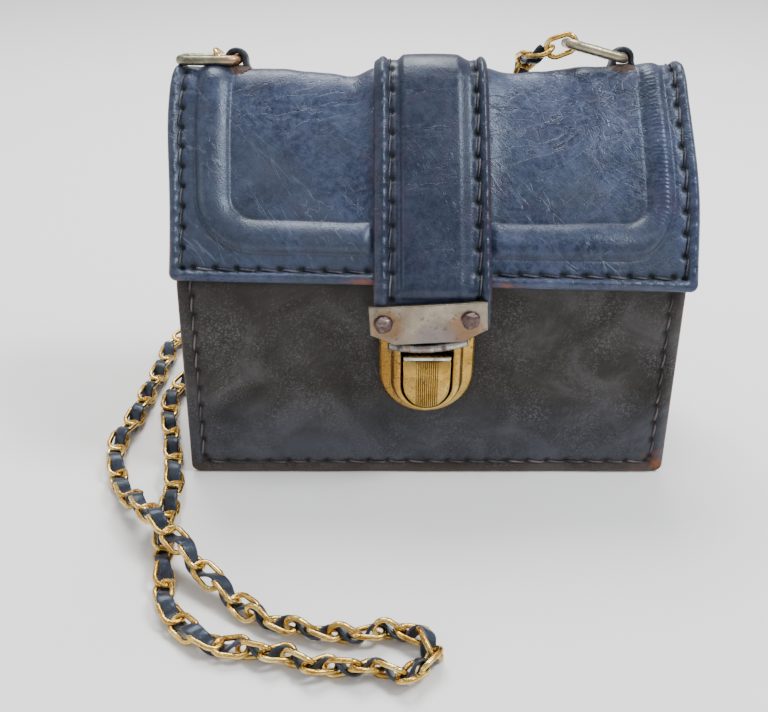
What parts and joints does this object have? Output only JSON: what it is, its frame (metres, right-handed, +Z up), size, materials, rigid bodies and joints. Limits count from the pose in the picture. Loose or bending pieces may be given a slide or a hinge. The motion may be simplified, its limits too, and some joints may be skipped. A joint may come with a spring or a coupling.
{
  "type": "shoulder bag",
  "caption": "Small stiff leather shoulder bag with a front flap, padded centre strap, thumb-lever lock and a long gilt chain with a leather strip through it.",
  "frame": {"origin": "middle of the bag's foot, on the surface that it stands on", "axes": "+Z up, -Y out of the front with the lock, +X towards the right as seen from the front"},
  "size_m": [0.2047, 0.2004, 0.1452],
  "materials": {
    "flap_leather": "glossy navy leather with fine scratches, crackle and raw orange-brown edges",
    "body_leather": "dusty charcoal leather, nearly matt, worn brown at its lower corner",
    "loop_leather": "black crackled leather with torn brown suede at its foot",
    "nickel": "aged olive-grey nickel with brown stains",
    "steel": "worn silver rod with dark chips",
    "oxide": "dark purple-brown patina",
    "brass": "old brass, golden on the left border with dark pits",
    "gilt": "polished gilt, with a navy leather strip through the links"
  },
  "bodies": {
    "bag": {"front_panel": "body_leather", "gusset": "body_leather", "back_and_flap": "flap_leather", "centre_strap": "flap_leather", "hasp_plate": "nickel", "hasp_rivet_left": "oxide", "hasp_rivet_right": "oxide", "hasp_bar": "steel", "lock_plate": "brass", "ring_loop_left": "loop_leather", "ring_loop_right": "loop_leather", "ring_left": "nickel", "ring_right": "nickel", "link_left_1": "gilt", "link_left_2": "gilt", "link_right_1": "gilt", "link_right_2": "gilt", "chain_strap": "gilt"},
    "thumb_lever": {"lock_lever": "brass"}
  },
  "joints": [
    {"name": "lever_press", "type": "hinge", "parent": "bag", "child": "thumb_lever", "pos_m": [-0.0012, -0.0353, 0.03839], "axis": [-1, 0, 0], "range_deg": [0, 8], "stiffness_Nm_per_rad": 0.05}
  ]
}
